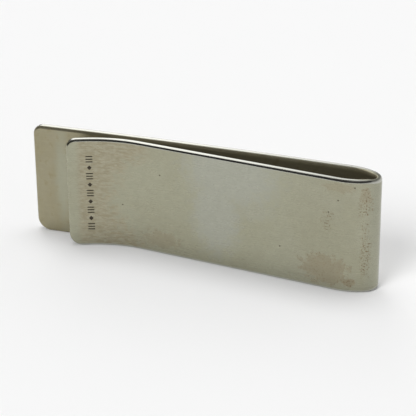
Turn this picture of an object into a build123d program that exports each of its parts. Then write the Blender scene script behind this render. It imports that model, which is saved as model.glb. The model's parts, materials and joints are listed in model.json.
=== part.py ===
from build123d import *

import os
from math import cos, radians, sin

# A spring money clip: one flat silver strip, folded into a hairpin and stood on its long edge.
# Millimetres. +X runs along the back leaf to the bend, +Y points from the front leaf to the back
# leaf, and +Z is up across the strip. The origin is on the foot, under the middle of the whole clip.
# The strip is one piece of metal. It is cut here only at the two roots of the bend, where its
# spring action is gathered into two hinges.

# The strip
width = 17.0  # across the strip, the clip's height as it stands
thickness = 1.2
outer_edge_radius = 0.33  # rounding of the outer skin's edges, round the two free ends as well
inner_edge_radius = 0.45  # the inner skin's edges are rounder
foot_corner_radius = 2.0  # each free end's lower corner, seen square to the leaf
top_corner_radius = 1.4  # and its upper corner

# The strip's outer face seen from above, from the back leaf's free end round to the lip.
# Lengths and radii are those of the outer face; turns are in degrees.
back_length = 49.28
back_bow = 2.0  # the long leaf bows outward: its face turns this much each side of its middle
bend_radii = (6.95, 2.04, 7.95)  # shoulder, nose and second shoulder of the hairpin
bend_turns = (36.7, 112.6, 34.6)
front_length = 30.9  # straight stretch, leaning in towards the back leaf
lip_radius = 15.8  # the lip curls outward, so this face is the inside of its curve
lip_turn = 29.5
lip_end = 2.75  # short straight run to the free edge

# A generic row of tally bars and lozenges, engraved across the lip
mark_inset = 3.3  # from the lip's free edge to the middle of the row
mark_depth = 0.08
mark_relief = 0.2  # the cutter starts this far outside the face
mark_groups = 5
mark_pitch = 2.7
bar_pitch = 0.42
bar_length = 1.05
bar_width = 0.17
lozenge_side = 0.5

# The outer face's line, drawn once: every piece below thickens its own stretch of it.
with BuildLine() as outer_face:
    start_heading = (cos(radians(back_bow)), sin(radians(back_bow)))
    back_radius = back_length / radians(2 * back_bow)
    back = JernArc((0, 0), start_heading, back_radius, -2 * back_bow)
    bend = []
    for radius, turn in zip(bend_radii, bend_turns):
        before = bend[-1] if bend else back
        bend.append(JernArc(before @ 1, before % 1, radius, -turn))
    front = Line(bend[-1] @ 1, bend[-1] @ 1 + (bend[-1] % 1) * front_length)
    lip = JernArc(front @ 1, front % 1, lip_radius, lip_turn)
    tip = Line(lip @ 1, lip @ 1 + (lip % 1) * lip_end)

middle = outer_face.line.bounding_box().center()
plan = Plane(origin=(-middle.X, -middle.Y, 0))


def strip(*stretch):
    """Stand a stretch of the strip on its edge: the outer face's line, thickened inward."""
    with BuildSketch(plan) as profile:
        with BuildLine():
            add(stretch)
            offset(amount=thickness, side=Side.RIGHT)
        make_face()
    extrude(profile.sketch, amount=width)


def is_outer(edge):
    """Whether an edge lies on the outer skin: on the outer face's line, seen from above."""
    place = plan.to_local_coords(edge.center())
    return outer_face.line.distance_to((place.X, place.Y, 0)) < thickness / 2


def round_edges(*ends):
    """Round the piece's long edges, and those of any free end, each skin with its own radius."""
    for outer, radius in ((True, outer_edge_radius), (False, inner_edge_radius)):
        level = edges().filter_by(Axis.Z, reverse=True)
        along = level.filter_by(lambda edge: edge.length > 1.01 * thickness)
        for end in ends:
            along += end().edges().filter_by(Axis.Z)
        fillet(along.filter_by(lambda edge: is_outer(edge) == outer), radius)


def free_end():
    """The flat face of a leaf's free end."""
    return faces().sort_by(Axis.X)[0]


def round_corners():
    """Round the foot corner and the top corner of a leaf's free end."""
    for place, radius in ((0, foot_corner_radius), (-1, top_corner_radius)):
        corners = free_end().edges().filter_by(Axis.Z, reverse=True)
        fillet(corners.sort_by(Axis.Z)[place], radius)


# Back leaf: the long, slightly bowed half that lies against the notes' back
with BuildPart() as back_leaf:
    strip(back)
    round_corners()
    round_edges(free_end)

# Spring bend: the hairpin, a tight nose between two gentler shoulders
with BuildPart() as spring_bend:
    strip(*bend)
    round_edges()

# Front leaf: straight, leaning in to the pinch line, then curling out into the lip
along_lip = 1 - (mark_inset - lip_end) / lip.length
mark_plane = Plane(
    origin=plan.from_local_coords(lip @ along_lip) + (0, 0, width / 2),
    x_dir=lip % along_lip,
    z_dir=(lip % along_lip).rotate(Axis.Z, 90),
)
with BuildPart() as front_leaf:
    strip(front, lip, tip)
    round_corners()
    round_edges(free_end)
    with BuildSketch(mark_plane.offset(mark_relief)):
        with GridLocations(0, mark_pitch, 1, mark_groups):
            with GridLocations(0, bar_pitch, 1, 3):
                SlotOverall(bar_length, bar_width)
        with GridLocations(0, mark_pitch, 1, mark_groups - 1):
            Rectangle(lozenge_side, lozenge_side, rotation=45)
    extrude(amount=-(mark_relief + mark_depth), mode=Mode.SUBTRACT)

back_leaf.part.label = "back_leaf"
spring_bend.part.label = "spring_bend"
front_leaf.part.label = "front_leaf"

os.makedirs("parts", exist_ok=True)
for piece in (back_leaf.part, spring_bend.part, front_leaf.part):
    export_step(piece, f"parts/{piece.label}.step")

# The two hinge lines stand on the outer face, where each leaf meets the bend.
for name, root in (("back root", back @ 1), ("front root", front @ 0)):
    hinge = plan.from_local_coords(root)
    print(f"{name} hinge line at X {hinge.X:.4f}, Y {hinge.Y:.4f}")
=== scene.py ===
import json
import math

import bmesh
import bpy
from mathutils import Matrix, Vector


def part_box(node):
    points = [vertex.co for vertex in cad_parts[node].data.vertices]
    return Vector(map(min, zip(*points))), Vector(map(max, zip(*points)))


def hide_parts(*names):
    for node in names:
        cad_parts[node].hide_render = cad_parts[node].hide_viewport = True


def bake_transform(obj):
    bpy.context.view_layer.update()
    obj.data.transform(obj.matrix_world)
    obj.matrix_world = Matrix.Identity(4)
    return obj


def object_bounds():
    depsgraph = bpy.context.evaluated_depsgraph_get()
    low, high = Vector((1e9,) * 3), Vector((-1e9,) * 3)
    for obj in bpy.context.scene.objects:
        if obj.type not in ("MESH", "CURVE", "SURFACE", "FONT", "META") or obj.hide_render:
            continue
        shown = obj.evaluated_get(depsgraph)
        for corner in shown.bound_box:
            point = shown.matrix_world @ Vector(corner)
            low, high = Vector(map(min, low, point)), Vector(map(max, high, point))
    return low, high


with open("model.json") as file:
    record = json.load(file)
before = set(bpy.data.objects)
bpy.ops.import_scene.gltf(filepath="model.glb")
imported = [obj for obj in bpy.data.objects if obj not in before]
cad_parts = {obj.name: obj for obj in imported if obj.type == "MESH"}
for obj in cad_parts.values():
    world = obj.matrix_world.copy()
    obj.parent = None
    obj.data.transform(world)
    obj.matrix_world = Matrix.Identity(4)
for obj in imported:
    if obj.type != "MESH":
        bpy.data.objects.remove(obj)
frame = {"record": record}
cad_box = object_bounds()

# ---------------------------------------------------------------------------------------------
# The strip, in metres and radians, as part.py draws it: the outer face's line seen from above,
# from the back leaf's free end round the bend to the lip.
# ---------------------------------------------------------------------------------------------
THICKNESS = 0.0012
OUTER_EDGE, INNER_EDGE = 0.00033, 0.00045
FOOT_CORNER, TOP_CORNER = 0.0020, 0.0014
BACK_LENGTH = 0.04928
BACK_BOW = math.radians(2.0)
BEND_ARCS = [  # radius, turn: shoulder, nose and second shoulder
    (0.00695, math.radians(36.7)),
    (0.00204, math.radians(112.6)),
    (0.00795, math.radians(34.6)),
]
FRONT_LENGTH = 0.0309
LIP_RADIUS, LIP_TURN = 0.0158, math.radians(29.5)
LIP_END = 0.00275

# Each stretch is (length, turn to the left): the bend turns right, the lip turns back left.
STRETCHES = [(BACK_LENGTH, -2 * BACK_BOW)]
STRETCHES += [(radius * turn, -turn) for radius, turn in BEND_ARCS]
STRETCHES += [(FRONT_LENGTH, 0.0), (LIP_RADIUS * LIP_TURN, LIP_TURN), (LIP_END, 0.0)]
TOTAL = sum(length for length, _ in STRETCHES)
APEX = BACK_LENGTH + STRETCHES[1][0] + STRETCHES[2][0] / 2
BEND_END = BACK_LENGTH + sum(length for length, _ in STRETCHES[1:4])

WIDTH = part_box("front_leaf")[1][2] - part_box("front_leaf")[0][2]
back_root, front_root = [Vector(j["pos_m"]) for j in frame["record"]["behaviour"]["joints"]]


def follow(distance, start=Vector((0, 0, 0))):
    """The point and heading on the outer face's line, this far from the back leaf's free end."""
    x, y, heading = start.x, start.y, BACK_BOW
    for length, turn in STRETCHES:
        part = min(distance, length)
        bend = turn * part / length
        chord = part * (math.sin(bend / 2) / (bend / 2) if bend else 1.0)
        x += chord * math.cos(heading + bend / 2)
        y += chord * math.sin(heading + bend / 2)
        heading += bend
        distance -= part
        if distance <= 0:
            break
    return Vector((x, y, 0)), heading


START = back_root - follow(BACK_LENGTH)[0]
START.z = 0.0
assert (follow(BEND_END, START)[0] - front_root).xy.length < 1e-5, "the strip isn't the CAD's strip"


# Bending stretches the nose's outer skin lengthwise, so it draws in a little from both long
# edges, and the strip thins there. The CAD keeps an even gauge. The share was chosen for how
# the rim looks, and is likely more than real bending gives.
DRAW_IN = 0.00022
DRAW_IN_REACH = 0.0020
THINNING = 0.32
NOSE_HALF = STRETCHES[2][0] / 2
NOSE_REACH = 1.25 * NOSE_HALF


def nose(point):
    """1 at the apex of the bend, falling to 0 a little past the ends of its tight arc."""
    return max(0.0, 1 - (abs(point.x - APEX) / NOSE_REACH) ** 2) ** 2


def drawn_in(point):
    """How far a point's height moves towards mid-height."""
    outward = 1 - point.y / THICKNESS
    foot, top = [max(0.0, 1 - height / DRAW_IN_REACH) for height in (point.z, WIDTH - point.z)]
    return DRAW_IN * nose(point) * outward * (foot - top)


def fold(point):
    """Where a point of the flat blank (distance along, depth below the outer face, height) goes."""
    on_face, heading = follow(point.x, START)
    inward = Vector((math.sin(heading), -math.cos(heading), 0))
    depth = point.y * (1 - THINNING * nose(point))
    return on_face + inward * depth + Vector((0, 0, point.z + drawn_in(point)))


# ---------------------------------------------------------------------------------------------
# Flat blanks, engraved while flat, then folded
# ---------------------------------------------------------------------------------------------
STATION_STEP = 0.0006
STATION_TURN = math.radians(2.0)
ROWS = 14
ROUND_STEPS = 6
CORNER_STEPS = 12
GUARD = 0.00005


def stations(first, last):
    """Distances along the strip, close together where it curves."""
    marks, begin = [], 0.0
    for length, turn in STRETCHES:
        count = max(math.ceil(length / STATION_STEP), math.ceil(abs(turn) / STATION_TURN))
        marks += [begin + length * i / count for i in range(count)]
        begin += length
    inside = [m for m in marks if first + GUARD < m < last - GUARD]
    return [first] + inside + [last]


def rim_profile():
    """(inset from the outline, depth) from the outer skin round the edge to the inner skin."""
    def rounding(radius):
        quarter = [math.pi / 2 * i / ROUND_STEPS for i in range(ROUND_STEPS + 1)]
        turn = [(radius * (1 - math.sin(a)), radius * (1 - math.cos(a))) for a in quarter]
        return [(radius + GUARD, 0.0)] + turn + [(0.0, radius + GUARD)]

    inner = [(inset, THICKNESS - depth) for inset, depth in reversed(rounding(INNER_EDGE))]
    return rounding(OUTER_EDGE) + inner


def outline(columns):
    """Plan points of half a strip with inward directions: foot, free end, top. u runs inward."""
    def corner(radius):
        inward = [Vector((math.sin(a), math.cos(a))) for a in arc]
        return [(Vector((radius, radius)) - n * radius, n) for n in inward]

    arc = [math.pi / 2 * i / CORNER_STEPS for i in range(CORNER_STEPS + 1)]
    span = WIDTH - FOOT_CORNER - TOP_CORNER
    rows = [FOOT_CORNER + span * i / ROWS for i in range(ROWS + 1)]
    foot = [(Vector((u, 0)), Vector((0, 1))) for u in reversed(columns[1:])]
    end = [(Vector((0, z)), Vector((1, 0))) for z in rows[1:-1]]
    high = [(Vector((p.x, WIDTH - p.y)), Vector((n.x, -n.y)))
            for p, n in reversed(corner(TOP_CORNER))]
    top = [(Vector((u, WIDTH)), Vector((0, -1))) for u in columns[1:]]
    return foot + corner(FOOT_CORNER) + end + high + top, rows


def blank(name, free_end, cut):
    """One half of the strip, flat: rounded corners at its free end, cut square at the other."""
    direction = 1 if cut > free_end else -1
    along = [abs(s - free_end) for s in stations(min(free_end, cut), max(free_end, cut))]
    columns = [FOOT_CORNER] + sorted(u for u in along if u > FOOT_CORNER + GUARD)
    border, rows = outline(columns)
    profile = rim_profile()
    bm = bmesh.new()

    def vertex(u, depth, z):
        return bm.verts.new((free_end + direction * u, depth, z))

    rim = [[vertex(p.x + n.x * inset, depth, p.y + n.y * inset) for p, n in border]
           for inset, depth in profile]
    for ring, following in zip(rim, rim[1:]):
        for i in range(len(border) - 1):
            bm.faces.new((ring[i], ring[i + 1], following[i + 1], following[i]))

    arms = len(columns) - 1
    for depth, ring in ((0.0, rim[0]), (THICKNESS, rim[-1])):
        grid = [[vertex(u, depth, z) for z in rows] for u in columns]
        for i in range(arms):
            for j in range(ROWS):
                bm.faces.new((grid[i][j], grid[i + 1][j], grid[i + 1][j + 1], grid[i][j + 1]))
            foot, top = arms - 1 - i, len(border) - arms + i
            bm.faces.new((grid[i][0], grid[i + 1][0], ring[foot], ring[foot + 1]))
            bm.faces.new((grid[i][-1], grid[i + 1][-1], ring[top], ring[top - 1]))
        low, high = arms, arms + CORNER_STEPS + ROWS
        for i in range(CORNER_STEPS):
            bm.faces.new((grid[0][0], ring[low + i], ring[low + i + 1]))
            bm.faces.new((grid[0][-1], ring[high + i], ring[high + i + 1]))
        for j in range(ROWS):
            here = low + CORNER_STEPS + j
            bm.faces.new((grid[0][j], grid[0][j + 1], ring[here + 1], ring[here]))

    open_edges = [e for e in bm.edges if e.is_boundary]
    bmesh.ops.edgeloop_fill(bm, edges=open_edges)
    bmesh.ops.recalc_face_normals(bm, faces=bm.faces)
    mesh = bpy.data.meshes.new(name)
    bm.to_mesh(mesh)
    bm.free()
    piece = bpy.data.objects.new(name, mesh)
    bpy.context.collection.objects.link(piece)
    return piece


# A generic row of tally bars and lozenges, engraved across the lip, in the place part.py gives it
MARK_INSET = 0.0033
MARK_DEPTH = 0.00008
MARK_RELIEF = 0.0002
MARK_GROUPS, MARK_PITCH = 5, 0.0027
BAR_PITCH, BAR_LENGTH, BAR_WIDTH = 0.00042, 0.00105, 0.00017
LOZENGE_SIDE = 0.0005
MARK_TAPER = 0.6  # the floor of each mark is this much narrower across
BAR_END_STEPS = 6
SHARP_ABOVE = math.radians(28)


def bar_outline():
    """Half-circles joined by straight sides, along the strip."""
    r, reach = BAR_WIDTH / 2, (BAR_LENGTH - BAR_WIDTH) / 2
    turns = [math.pi * i / BAR_END_STEPS - math.pi / 2 for i in range(BAR_END_STEPS + 1)]
    right = [Vector((reach + r * math.cos(a), r * math.sin(a))) for a in turns]
    return right + [-p for p in right]


def lozenge_outline():
    r = LOZENGE_SIDE / math.sqrt(2)
    return [Vector(p) for p in ((r, 0), (0, r), (-r, 0), (0, -r))]


def engrave(piece, ink):
    """Cuts the row of marks into the flat blank; the cut faces take the ink material."""
    bm = bmesh.new()
    shapes = []
    for g in range(MARK_GROUPS):
        z = WIDTH / 2 + (g - (MARK_GROUPS - 1) / 2) * MARK_PITCH
        shapes += [(bar_outline(), z + k * BAR_PITCH) for k in (-1, 0, 1)]
        if g < MARK_GROUPS - 1:
            shapes.append((lozenge_outline(), z + MARK_PITCH / 2))
    for points, z in shapes:
        rings = []
        for depth, size in ((-MARK_RELIEF, 1.0), (0.0, 1.0), (MARK_DEPTH, MARK_TAPER)):
            rings.append([bm.verts.new((TOTAL - MARK_INSET + p.x, depth, z + p.y * size))
                          for p in points])
        count = len(points)
        for ring, following in zip(rings, rings[1:]):
            for i in range(count):
                j = (i + 1) % count
                bm.faces.new((ring[i], ring[j], following[j], following[i]))
        bm.faces.new(rings[0])
        bm.faces.new(rings[-1])
    bmesh.ops.recalc_face_normals(bm, faces=bm.faces)
    mesh = bpy.data.meshes.new("cutter")
    bm.to_mesh(mesh)
    bm.free()
    mesh.materials.append(ink)
    cutter = bpy.data.objects.new("cutter", mesh)
    bpy.context.collection.objects.link(cutter)
    cut = piece.modifiers.new("engrave", "BOOLEAN")
    cut.operation, cut.solver, cut.object = "DIFFERENCE", "EXACT", cutter
    cut.material_mode = "TRANSFER"
    bpy.context.view_layer.update()
    cut_piece = piece.evaluated_get(bpy.context.evaluated_depsgraph_get())
    done = bpy.data.meshes.new_from_object(cut_piece)
    piece.modifiers.clear()
    piece.data = done
    bpy.data.objects.remove(cutter)


def fold_piece(piece):
    """Folds the flat blank, keeping each point's flat place for the materials to use."""
    mesh = piece.data
    flat = mesh.attributes.new("flat", "FLOAT_VECTOR", "POINT")
    for v in mesh.vertices:
        flat.data[v.index].vector = v.co
        v.co = fold(v.co)
    bm = bmesh.new()
    bm.from_mesh(mesh)
    bmesh.ops.recalc_face_normals(bm, faces=bm.faces)
    bm.to_mesh(mesh)
    bm.free()
    mesh.shade_smooth()
    mesh.set_sharp_from_angle(angle=SHARP_ABOVE)


# ---------------------------------------------------------------------------------------------
# Materials
# ---------------------------------------------------------------------------------------------
class Nodes:
    """A short way to add and join shader nodes."""

    def __init__(self, name):
        self.material = bpy.data.materials.new(name)
        self.material.use_nodes = True
        self.tree = self.material.node_tree
        self.surface = self.tree.nodes["Principled BSDF"]

    def put(self, socket, value):
        if isinstance(value, bpy.types.NodeSocket):
            self.tree.links.new(value, socket)
        else:
            socket.default_value = value

    def add(self, kind, settings=None, **inputs):
        node = self.tree.nodes.new(kind)
        for key, value in (settings or {}).items():
            setattr(node, key, value)
        for key, value in inputs.items():
            self.put(node.inputs[key.replace("_", " ")], value)
        return node

    def math(self, operation, a, b=0.0):
        node = self.tree.nodes.new("ShaderNodeMath")
        node.operation = operation
        self.put(node.inputs[0], a)
        self.put(node.inputs[1], b)
        return node.outputs[0]

    def step(self, value, low, high, to_low=0.0, to_high=1.0):
        node = self.add("ShaderNodeMapRange", {"interpolation_type": "SMOOTHSTEP"}, Value=value)
        node.inputs["From Min"].default_value = low
        node.inputs["From Max"].default_value = high
        node.inputs["To Min"].default_value = to_low
        node.inputs["To Max"].default_value = to_high
        return node.outputs["Result"]

    def mix(self, factor, a, b):
        node = self.add("ShaderNodeMix", {"data_type": "RGBA"})
        self.put(node.inputs["Factor"], factor)
        self.put(node.inputs[6], a)
        self.put(node.inputs[7], b)
        return node.outputs[2]

    def stretch(self, vector, scale, shift=(0, 0, 0)):
        node = self.add("ShaderNodeMapping", Vector=vector)
        node.inputs["Scale"].default_value = scale
        node.inputs["Location"].default_value = shift
        return node.outputs["Vector"]

    def oval(self, flat, wander, place, reach, ragged, strength=1.0, soft=0.2):
        """1 inside a ragged oval on the flat blank, 0 outside. Its place and reach are in mm."""
        along, up = [1000 / r for r in reach]
        shift = (-place[0] / reach[0], 0, -place[1] / reach[1])
        away = self.add("ShaderNodeVectorMath", {"operation": "LENGTH"},
                        Vector=self.stretch(flat, (along, 0, up), shift)).outputs["Value"]
        away = self.math("ADD", away, self.step(wander, 0.3, 0.7, -ragged / 2, ragged / 2))
        return self.step(away, 1 + soft, 1 - soft, 0.0, strength)

    def noise(self, vector, scale, detail=3.0, roughness=0.5, distortion=0.0):
        node = self.add("ShaderNodeTexNoise", Vector=vector, Scale=scale, Detail=detail,
                        Roughness=roughness, Distortion=distortion)
        return node.outputs["Fac"]


# The tarnish and one painted highlight, by their place on the strip: (along, height) of each
# oval's middle, how far it reaches each way, how ragged its outline is, how strong it is and how
# softly it fades. In millimetres, along from the back leaf's free end.
PALE = [
    ((78.7, 15.0), (7.0, 5.2), 0.4, 0.9, 0.4),
    ((80.9, 8.2), (3.6, 6.0), 0.4, 0.9, 0.4),
    ((76.0, 9.8), (3.8, 1.5), 0.5, 0.4, 0.4),
    ((20.0, 9.0), (11.0, 5.5), 0.5, 0.6, 0.4),  # a guess, on the back leaf's hidden outer face
]
GREEN_BAY = ((90.0, 8.0), (7.8, 7.0), 0.35)
STAINS = [
    ((64.0, 3.0), (3.4, 2.2), 0.7, 0.5),
    ((60.3, 1.5), (0.9, 0.6), 0.8, 0.7),
    ((90.0, 2.3), (2.9, 1.3), 0.9, 0.4),
    ((62.0, 15.8), (2.2, 0.7), 0.9, 0.35),
    ((58.4, 14.6), (0.9, 1.3), 0.9, 0.35),
]
SPECKLED = [
    ((58.1, 5.6), (0.85, 3.0), 0.8),
    ((58.3, 13.8), (0.95, 2.2), 0.8),
    ((58.2, 9.8), (0.6, 1.6), 0.9, 0.6),
    ((63.9, 10.6), (1.0, 1.6), 0.9, 0.7),
    ((64.0, 3.0), (3.6, 2.4), 0.8, 0.45),
    ((60.3, 1.5), (0.8, 0.6), 0.6),
]
PITS = [(90.0, 12.6), (63.6, 11.9), (62.2, 13.9), (59.9, 16.0), (96.2, 6.9), (70.9, 5.2)]
PIT_REACH = 0.11
# a paler band painted on the back leaf's inner skin beside the lip's end, as a highlight
INNER_HIGHLIGHT_BAND = ((4.6, 9.0), (1.1, 6.5), 0.25, 0.9, 0.6)  # on the back leaf's inner skin

# Where the skins change, in metres along the strip, from the apex or from a long edge
WARM_TO_GREEN = (0.064, 0.075)
# painted shade: the colour darkens towards the bend's apex, fully within 1.2 mm of it
NOSE_SHADE_REACH = (0.0030, 0.0012)
LIP_BROWN = (0.0905, 0.0935)
LIP_CLEAN = (0.0022, 0.0010)  # the brown stops short of the free edge
STRAY_SPECKS = (0.070, 0.060)
EDGE_RUBBED = (0.0004, 0.00025)
NOSE_EDGE = (0.006, 0.002)  # round the nose the rubbing stays nearer the outer skin
INNER_SKIN = (0.65 * THICKNESS, 0.8 * THICKNESS)
RUBBED_DEPTH = (0.8 * THICKNESS, 0.7 * THICKNESS)
NOSE_SHIFT = 0.45 * THICKNESS

# Linear base colours. They were chosen together with the studio light below, and are right only
# with it. In each pair a noise mixes one with the other.
WARM = (0.384, 0.374, 0.274, 1), (0.396, 0.388, 0.292, 1)
GREEN = (0.392, 0.382, 0.280, 1), (0.407, 0.402, 0.300, 1)
# a darker colour painted at the bend's apex as shade
NOSE_SHADE = (0.350, 0.348, 0.268, 1)
PALE_METAL = (0.430, 0.435, 0.366, 1)
BROWN = (0.350, 0.312, 0.212, 1), (0.420, 0.392, 0.288, 1)
STAIN = (0.350, 0.296, 0.198, 1), (0.388, 0.338, 0.236, 1)
SPECK = (0.235, 0.175, 0.100, 1)
PIT = (0.11, 0.09, 0.06, 1)
WITHIN = (0.362, 0.328, 0.212, 1), (0.390, 0.358, 0.246, 1)
WITHIN_MOTTLE = (0.330, 0.294, 0.182, 1)
# the paler colour of a painted highlight on the inner skin
WITHIN_HIGHLIGHT = (0.412, 0.408, 0.305, 1)
BARE = (0.52, 0.52, 0.465, 1)
PATINA = (0.030, 0.024, 0.016, 1), (0.085, 0.070, 0.048, 1)
BROWN_STRENGTH, STRAY_STRENGTH = 0.9, 0.6
TONE, TONE_SCRATCH = (0.905, 0.965), (-0.022, 0.022)

METALLIC, INNER_METALLIC = 1.0, 0.82
ROUGHNESS, INNER_ROUGHNESS, MARRED_ROUGHNESS = 0.25, 0.36, 0.12
SCRATCH_ROUGHNESS = (-0.02, 0.03)
RUBBED_SMOOTHER = 0.55

# Relief, in metres
SCRATCH_RELIEF, STREAK_RELIEF, PIT_RELIEF, WAVE_RELIEF = 1.2e-6, 2.0e-6, 4.0e-6, 9.0e-6


def silver():
    """Polished silver under a thin warm tarnish, with stains where the strip was bent hardest and
    painted shade darkening the bend's apex.
    """
    n = Nodes("tarnished_silver")
    flat = n.add("ShaderNodeAttribute", {"attribute_name": "flat"}).outputs["Vector"]
    apart = n.add("ShaderNodeSeparateXYZ", Vector=flat)
    along, depth, height = apart.outputs
    inner = n.step(depth, *INNER_SKIN)

    # Noises at the scales of hands, cloth and polishing
    cloud = n.step(n.noise(flat, 120, 4.0, 0.6, 0.5), 0.34, 0.66)
    mottle = n.noise(flat, 900, 4.0, 0.65)
    streaks = n.noise(n.stretch(flat, (0.28, 1, 1)), 3200, 3.0, 0.6, 0.6)
    scratches = n.noise(n.stretch(flat, (0.06, 1, 1), (3, 1, 2)), 5200, 2.0, 0.6)
    grains = n.noise(n.stretch(flat, (1, 1, 1), (7, 4, 9)), 4300, 3.0, 0.6)

    def ragged(ovals):
        """1 inside any of the ovals, 0 outside."""
        inside = None
        for oval in ovals:
            here = n.oval(flat, mottle, *oval)
            inside = here if inside is None else n.math("MAXIMUM", inside, here)
        return inside

    # Outer skin: grey-green, paler and cooler in the middle of the front leaf, brown on the lip,
    # and darker at the bend's apex as painted shade
    warm, green = n.mix(cloud, *WARM), n.mix(cloud, *GREEN)
    colour = n.mix(n.step(along, *WARM_TO_GREEN), warm, green)
    from_apex = n.math("ABSOLUTE", n.math("SUBTRACT", along, APEX))
    # painted shade: a darker colour at the bend's apex
    colour = n.mix(n.step(from_apex, *NOSE_SHADE_REACH), colour, NOSE_SHADE)
    colour = n.mix(ragged(PALE), colour, PALE_METAL)
    short_of_edge = n.step(along, TOTAL - LIP_CLEAN[1], TOTAL - LIP_CLEAN[0])
    brown = n.math("MULTIPLY", n.step(along, *LIP_BROWN), short_of_edge)
    brown = n.math("MULTIPLY", brown, n.math("SUBTRACT", 1.0, ragged([GREEN_BAY])))
    streaky = n.mix(n.step(streaks, 0.36, 0.62), *BROWN)
    colour = n.mix(n.math("MULTIPLY", brown, BROWN_STRENGTH), colour, streaky)
    stain = ragged(STAINS)
    stained = n.mix(n.step(grains, 0.40, 0.60), *STAIN)
    colour = n.mix(stain, colour, stained)
    specks = n.math("MULTIPLY", ragged(SPECKLED), n.step(grains, 0.535, 0.60))
    stray = n.math("MULTIPLY", n.step(along, *STRAY_SPECKS), n.step(grains, 0.66, 0.70))
    specks = n.math("MAXIMUM", specks, n.math("MULTIPLY", stray, STRAY_STRENGTH))
    colour = n.mix(specks, colour, SPECK)
    pits = ragged([(place, (PIT_REACH, PIT_REACH), 0.0) for place in PITS])
    colour = n.mix(pits, colour, PIT)

    # Inner skin: yellower and mottled, with a paler band painted near the back leaf's free end as a
    # highlight
    within = n.mix(cloud, *WITHIN)
    within = n.mix(n.step(mottle, 0.52, 0.70), within, WITHIN_MOTTLE)
    # painted highlight: a paler band on the back leaf's inner skin
    within = n.mix(ragged([INNER_HIGHLIGHT_BAND]), within, WITHIN_HIGHLIGHT)
    colour = n.mix(inner, colour, within)

    # Long edges rubbed bright, and a fine uneven grain over everything
    margin = n.math("MINIMUM", height, n.math("SUBTRACT", WIDTH, height))
    within_rim = n.math("ADD", depth, n.step(from_apex, *NOSE_EDGE, 0.0, NOSE_SHIFT))
    on_outer = n.step(within_rim, *RUBBED_DEPTH)
    rubbed = n.math("MULTIPLY", n.step(margin, *EDGE_RUBBED), on_outer)
    colour = n.mix(rubbed, colour, BARE)
    mottled = n.step(mottle, 0.3, 0.7, *TONE)
    tone = n.math("ADD", n.step(scratches, 0.3, 0.7, *TONE_SCRATCH), mottled)
    shaded = n.add("ShaderNodeVectorMath", {"operation": "SCALE"}, Vector=colour, Scale=tone)
    n.put(n.surface.inputs["Base Color"], shaded.outputs["Vector"])

    n.put(n.surface.inputs["Metallic"], n.step(inner, 0, 1, METALLIC, INNER_METALLIC))
    marred = n.math("MAXIMUM", stain, specks)
    skins = n.step(inner, 0, 1, ROUGHNESS, INNER_ROUGHNESS)
    rough = n.math("ADD", skins, n.step(marred, 0, 1, 0.0, MARRED_ROUGHNESS))
    rough = n.math("ADD", rough, n.step(scratches, 0.35, 0.65, *SCRATCH_ROUGHNESS))
    rough = n.math("MULTIPLY", rough, n.step(rubbed, 0, 1, 1.0, RUBBED_SMOOTHER))
    n.put(n.surface.inputs["Roughness"], rough)

    # Polishing lines, streaks on the lip, shallow pits under the specks, and a slow waviness
    brown_streaks, pitted = n.math("MULTIPLY", streaks, brown), n.math("MAXIMUM", specks, pits)
    waves = n.noise(flat, 160, 1.0)
    relief = n.math("MULTIPLY", scratches, SCRATCH_RELIEF)
    relief = n.math("ADD", relief, n.math("MULTIPLY", brown_streaks, STREAK_RELIEF))
    relief = n.math("SUBTRACT", relief, n.math("MULTIPLY", pitted, PIT_RELIEF))
    relief = n.math("ADD", relief, n.math("MULTIPLY", waves, WAVE_RELIEF))
    bump = n.add("ShaderNodeBump", Height=relief, Distance=1.0, Strength=1.0)
    n.put(n.surface.inputs["Normal"], bump.outputs["Normal"])
    return n.material


def oxide():
    """The dark patina left in the engraved marks."""
    n = Nodes("dark_patina")
    flat = n.add("ShaderNodeAttribute", {"attribute_name": "flat"}).outputs["Vector"]
    grain = n.noise(flat, 9000, 3.0)
    n.put(n.surface.inputs["Base Color"], n.mix(grain, *PATINA))
    n.surface.inputs["Metallic"].default_value = 0.4
    n.surface.inputs["Roughness"].default_value = 0.6
    return n.material


# ---------------------------------------------------------------------------------------------
# The two halves of the strip. They meet at the bend's apex.
# ---------------------------------------------------------------------------------------------
metal, patina = silver(), oxide()
rear_half = blank("rear_half_strip", 0.0, APEX)
rear_half.data.materials.append(metal)
front_half = blank("front_half_strip", TOTAL, APEX)
front_half.data.materials.append(metal)
engrave(front_half, patina)
for half in (rear_half, front_half):
    fold_piece(half)

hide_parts("back_leaf", "spring_bend")
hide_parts("front_leaf", "spring_bend")
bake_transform(rear_half)
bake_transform(front_half)

# ---------------------------------------------------------------------------------------------
# Floor, light and camera
# ---------------------------------------------------------------------------------------------
CAMERA_AZIMUTH, CAMERA_ELEVATION = math.radians(20.76), math.radians(24.20)
CAMERA_ROLL = math.radians(-0.52)
CAMERA_DISTANCE = 0.23655
CAMERA_AIM_RIGHT, CAMERA_AIM_UP = 0.00129, -0.00028
LENS = 141.4
FLOOR_REACH = 2.0
FLOOR_WHITE = (0.9, 0.9, 0.9, 1)

lo, hi = [Vector(corner) for corner in cad_box]
centre = (lo + hi) / 2


def heading(azimuth, elevation):
    """Unit vector from the object towards a place at this azimuth (0 is -Y) and elevation."""
    flat = math.cos(elevation)
    return Vector((math.sin(azimuth) * flat, -math.cos(azimuth) * flat, math.sin(elevation)))


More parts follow.
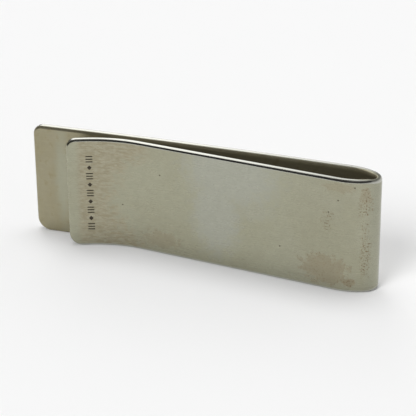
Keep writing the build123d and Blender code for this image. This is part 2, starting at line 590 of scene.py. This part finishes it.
def make_camera():
    data = bpy.data.cameras.new("camera")
    data.lens = LENS
    data.clip_start = 0.01
    camera = bpy.data.objects.new("camera", data)
    bpy.context.collection.objects.link(camera)
    back = heading(CAMERA_AZIMUTH, CAMERA_ELEVATION)
    right = Vector((math.cos(CAMERA_AZIMUTH), math.sin(CAMERA_AZIMUTH), 0))
    up = back.cross(right)
    turn = Matrix.Rotation(CAMERA_ROLL, 3, back)
    right, up = turn @ right, turn @ up
    aim = centre + right * CAMERA_AIM_RIGHT + up * CAMERA_AIM_UP
    axes = Matrix((right, up, back)).transposed().to_4x4()
    camera.matrix_world = Matrix.Translation(aim + back * CAMERA_DISTANCE) @ axes
    bpy.context.scene.camera = camera


def make_floor():
    mesh = bpy.data.meshes.new("floor")
    r = FLOOR_REACH
    mesh.from_pydata([(-r, -r, 0), (r, -r, 0), (r, r, 0), (-r, r, 0)], [], [(0, 1, 2, 3)])
    floor = bpy.data.objects.new("floor", mesh)
    floor.location.z = lo.z
    bpy.context.collection.objects.link(floor)
    n = Nodes("paper_white")
    n.surface.inputs["Base Color"].default_value = FLOOR_WHITE
    n.surface.inputs["Roughness"].default_value = 1.0
    n.surface.inputs["Specular IOR Level"].default_value = 0.0
    mesh.materials.append(n.material)


# The studio: a dark room with a soft box at the back that the clip's top edges mirror, an upper
# panel to its left, a pale glow round the back and the right, a panel on the right, and a patch
# of sky straight above. Two broad lamps light the floor. Azimuths are from straight behind,
# positive to the camera's right. The radiances and places were chosen for how the clip looks,
# and describe no real studio.
ROOM, GLOW, BOX, UPPER, SIDE, SKY = 0.05, 0.45, 1.45, 1.0, 0.35, 0.45
BOX_SIDE_OPEN, BOX_SIDE_SHUT = math.radians(-2), math.radians(13)  # its edge towards the bend
BOX_REACH_SHUT, BOX_REACH_OPEN = math.radians(-30), math.radians(-20)  # and the other way
BOX_TOP_OPEN, BOX_TOP_SHUT = math.radians(31), math.radians(42)
BOX_SLANT_FROM = math.radians(3)  # its top slants up the other way, a degree for each degree
UPPER_RIGHT = math.radians(-12), math.radians(-17)  # each pair is (dark, bright)
UPPER_LEFT = math.radians(-60), math.radians(-48)
UPPER_FOOT = math.radians(43), math.radians(49)
UPPER_TOP = math.radians(66), math.radians(58)
BOX_FOOT_SHUT, BOX_FOOT_OPEN = math.radians(9), math.radians(17)
GLOW_TOP_OPEN, GLOW_TOP_SHUT = math.radians(24), math.radians(46)
GLOW_FOOT = math.radians(8), math.radians(22)  # it starts this high, but for its right-hand part
LOW_GLOW = math.radians(12), math.radians(32)
SKY_RANGE = math.radians(74), math.radians(85)
GLOW_BEHIND, GLOW_BESIDE = (-0.2, 0.8), (0.10, 0.45)  # as cosines to those directions
SIDE_PANEL = (0.30, 0.60)
LAMPS = [  # name, irradiance, angle, azimuth from the camera's, elevation: all in degrees
    ("overhead", 1.26, 38, 180, 82),
    ("front", 1.69, 32, -38, 38),
]


def make_world():
    world = bpy.data.worlds.new("studio")
    bpy.context.scene.world = world
    world.use_nodes = True
    tree = world.node_tree
    backdrop = tree.nodes["Background"]
    backdrop.inputs["Color"].default_value = (1, 1, 1, 1)
    direction = tree.nodes.new("ShaderNodeTexCoord").outputs["Generated"]

    def put(socket, value):
        if isinstance(value, bpy.types.NodeSocket):
            tree.links.new(value, socket)
        else:
            socket.default_value = value

    def along(axis):
        node = tree.nodes.new("ShaderNodeVectorMath")
        node.operation = "DOT_PRODUCT"
        put(node.inputs[0], direction)
        put(node.inputs[1], axis)
        return node.outputs["Value"]

    def maths(operation, a, b=0.0):
        node = tree.nodes.new("ShaderNodeMath")
        node.operation = operation
        put(node.inputs[0], a)
        put(node.inputs[1], b)
        return node.outputs[0]

    def fade(value, shut, opened):
        node = tree.nodes.new("ShaderNodeMapRange")
        node.interpolation_type = "SMOOTHSTEP"
        put(node.inputs["Value"], value)
        put(node.inputs["From Min"], shut)
        put(node.inputs["From Max"], opened)
        return node.outputs["Result"]

    behind = heading(CAMERA_AZIMUTH + math.pi, 0.0)
    sideways = Vector((math.cos(CAMERA_AZIMUTH), math.sin(CAMERA_AZIMUTH), 0))
    rearward, side, height = along(behind), along(sideways), along(Vector((0, 0, 1)))
    azimuth = maths("ARCTAN2", side, rearward)
    elevation = maths("ARCSINE", height)
    slanted = maths("ADD", elevation, maths("SUBTRACT", azimuth, BOX_SLANT_FROM))
    box = maths("MULTIPLY", fade(azimuth, BOX_SIDE_SHUT, BOX_SIDE_OPEN),
                fade(slanted, BOX_TOP_SHUT, BOX_TOP_OPEN))
    box = maths("MULTIPLY", box, fade(azimuth, BOX_REACH_SHUT, BOX_REACH_OPEN))
    box = maths("MULTIPLY", box, fade(elevation, BOX_FOOT_SHUT, BOX_FOOT_OPEN))
    upper = maths("MULTIPLY", fade(azimuth, *UPPER_RIGHT), fade(azimuth, *UPPER_LEFT))
    upper_height = maths("MULTIPLY", fade(elevation, *UPPER_FOOT), fade(elevation, *UPPER_TOP))
    upper = maths("MULTIPLY", upper, upper_height)
    around = maths("MAXIMUM", fade(rearward, *GLOW_BEHIND), fade(side, *GLOW_BESIDE))
    glow = maths("MULTIPLY", around, fade(elevation, GLOW_TOP_SHUT, GLOW_TOP_OPEN))
    low = maths("MAXIMUM", fade(elevation, *GLOW_FOOT), fade(azimuth, *LOW_GLOW))
    glow = maths("MULTIPLY", glow, low)
    total = maths("ADD", maths("MULTIPLY", box, BOX), maths("MULTIPLY", glow, GLOW))
    total = maths("ADD", total, maths("MULTIPLY", upper, UPPER))
    total = maths("ADD", total, maths("MULTIPLY", fade(side, *SIDE_PANEL), SIDE))
    total = maths("ADD", total, maths("MULTIPLY", fade(elevation, *SKY_RANGE), SKY))
    total = maths("ADD", total, ROOM)
    put(backdrop.inputs["Strength"], total)


def make_lamps():
    """Broad lamps for the floor. The metal mirrors the floor and the room, not the lamps."""
    for name, irradiance, angle, azimuth, elevation in LAMPS:
        data = bpy.data.lights.new(name, "SUN")
        data.energy = irradiance
        data.angle = math.radians(angle)
        lamp = bpy.data.objects.new(name, data)
        bpy.context.collection.objects.link(lamp)
        lamp.rotation_mode = "QUATERNION"
        towards = heading(CAMERA_AZIMUTH + math.radians(azimuth), math.radians(elevation))
        lamp.rotation_quaternion = towards.to_track_quat("Z", "Y")
        lamp.visible_glossy = False


make_camera()
make_floor()
make_world()
make_lamps()
bpy.context.scene.view_settings.view_transform = "Standard"
